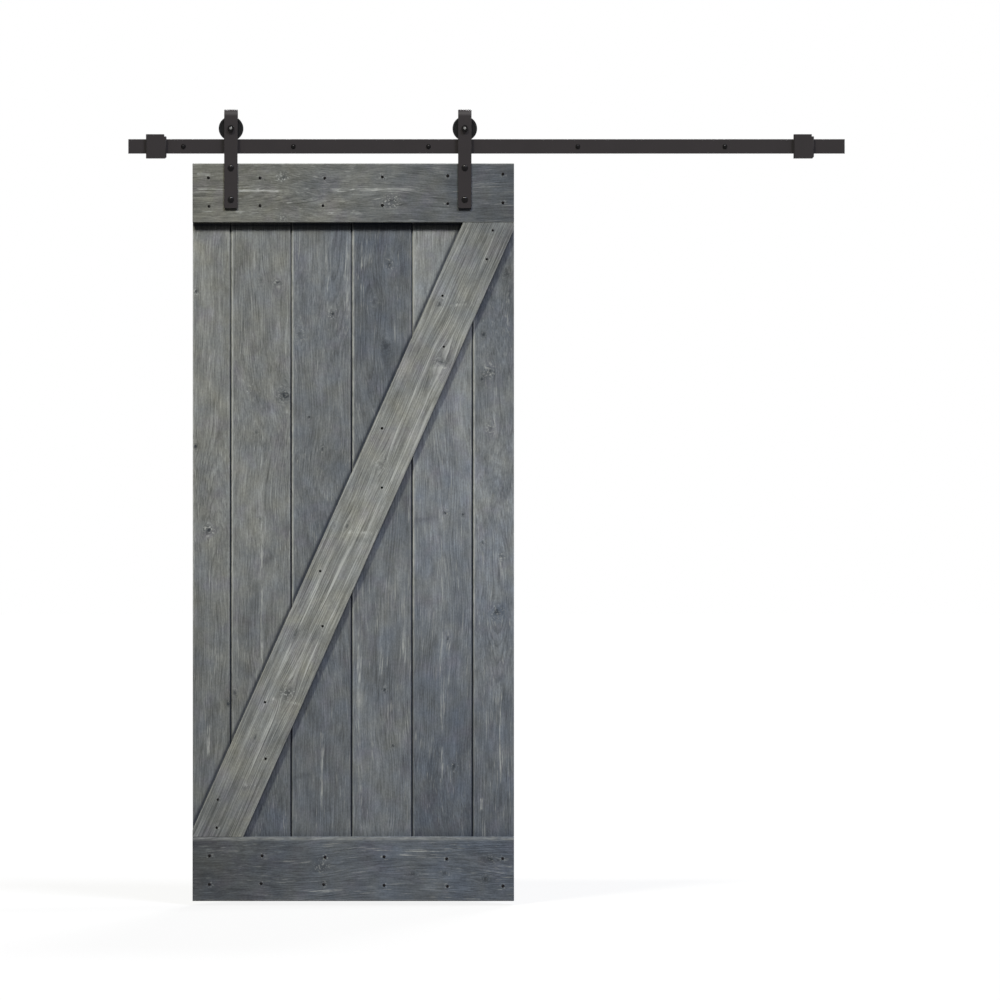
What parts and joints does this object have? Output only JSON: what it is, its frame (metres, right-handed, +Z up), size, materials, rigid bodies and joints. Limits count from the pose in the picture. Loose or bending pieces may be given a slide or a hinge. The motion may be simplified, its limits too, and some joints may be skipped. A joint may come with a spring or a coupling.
{
  "type": "sliding ledged and braced door with wall rail",
  "caption": "Plank door leaf with two ledges and a diagonal brace, hung from a flat wall rail by strap hangers with grooved wheels, so that it slides sideways.",
  "frame": {"origin": "middle of the centre spacer's back face, which bears on the wall", "axes": "+X along the rail to the viewer's right, +Y into the wall, +Z up; the leaf's ledges and brace face -Y"},
  "size_m": [2.0385, 0.1085, 2.2519],
  "materials": {
    "board_pine": "grey weathering stain on knotty pine, brushed along the grain",
    "ledge_pine": "grey weathering stain on knotty pine, grain across the leaf",
    "brace_pine": "grey stain, a little lighter and warmer than the boards",
    "rail_steel": "black powder coat, satin, fine texture",
    "strap_steel": "black powder coat, satin, fine texture",
    "fastener_steel": "black oxide, slightly glossier than the powder coat",
    "bush_steel": "turned mild steel, zinc plated",
    "wheel_nylon": "black turned nylon, satin",
    "bearing_steel": "ground bearing steel"
  },
  "bodies": {
    "track": {"rail": "rail_steel", "left_stop": "rail_steel", "right_stop": "rail_steel", "spacer_1": "rail_steel", "lag_bolt_1": "fastener_steel", "spacer_2": "rail_steel", "lag_bolt_2": "fastener_steel", "spacer_3": "rail_steel", "lag_bolt_3": "fastener_steel", "spacer_4": "rail_steel", "lag_bolt_4": "fastener_steel", "spacer_5": "rail_steel", "lag_bolt_5": "fastener_steel"},
    "leaf": {"board_1": "board_pine", "board_2": "board_pine", "board_3": "board_pine", "board_4": "board_pine", "board_5": "board_pine", "board_6": "board_pine", "top_ledge": "ledge_pine", "bottom_ledge": "ledge_pine", "brace": "brace_pine", "left_strap": "strap_steel", "left_axle_bolt": "fastener_steel", "left_axle_nut": "fastener_steel", "left_upper_bolt": "fastener_steel", "left_lower_bolt": "fastener_steel", "left_upper_nut": "fastener_steel", "left_lower_nut": "fastener_steel", "left_front_bush": "bush_steel", "left_back_bush": "bush_steel", "right_strap": "strap_steel", "right_axle_bolt": "fastener_steel", "right_axle_nut": "fastener_steel", "right_upper_bolt": "fastener_steel", "right_lower_bolt": "fastener_steel", "right_upper_nut": "fastener_steel", "right_lower_nut": "fastener_steel", "right_front_bush": "bush_steel", "right_back_bush": "bush_steel"},
    "left_roller": {"left_wheel": "wheel_nylon", "left_bearing": "bearing_steel"},
    "right_roller": {"right_wheel": "wheel_nylon", "right_bearing": "bearing_steel"}
  },
  "joints": [
    {"name": "door_slide", "type": "slide", "parent": "track", "child": "leaf", "axis": [1, 0, 0], "range_m": [-0.152, 0.899]},
    {"name": "left_wheel_spin", "type": "hinge", "parent": "leaf", "child": "left_roller", "pos_m": [-0.5617, -0.034, 0.0508], "axis": [0, 1, 0], "continuous": true},
    {"name": "right_wheel_spin", "type": "hinge", "parent": "leaf", "child": "right_roller", "pos_m": [0.1035, -0.034, 0.0508], "axis": [0, 1, 0], "continuous": true}
  ],
  "couplings": [
    {"joint": "left_wheel_spin", "follows": "door_slide", "rad_per_m": 33.333},
    {"joint": "right_wheel_spin", "follows": "door_slide", "rad_per_m": 33.333}
  ]
}
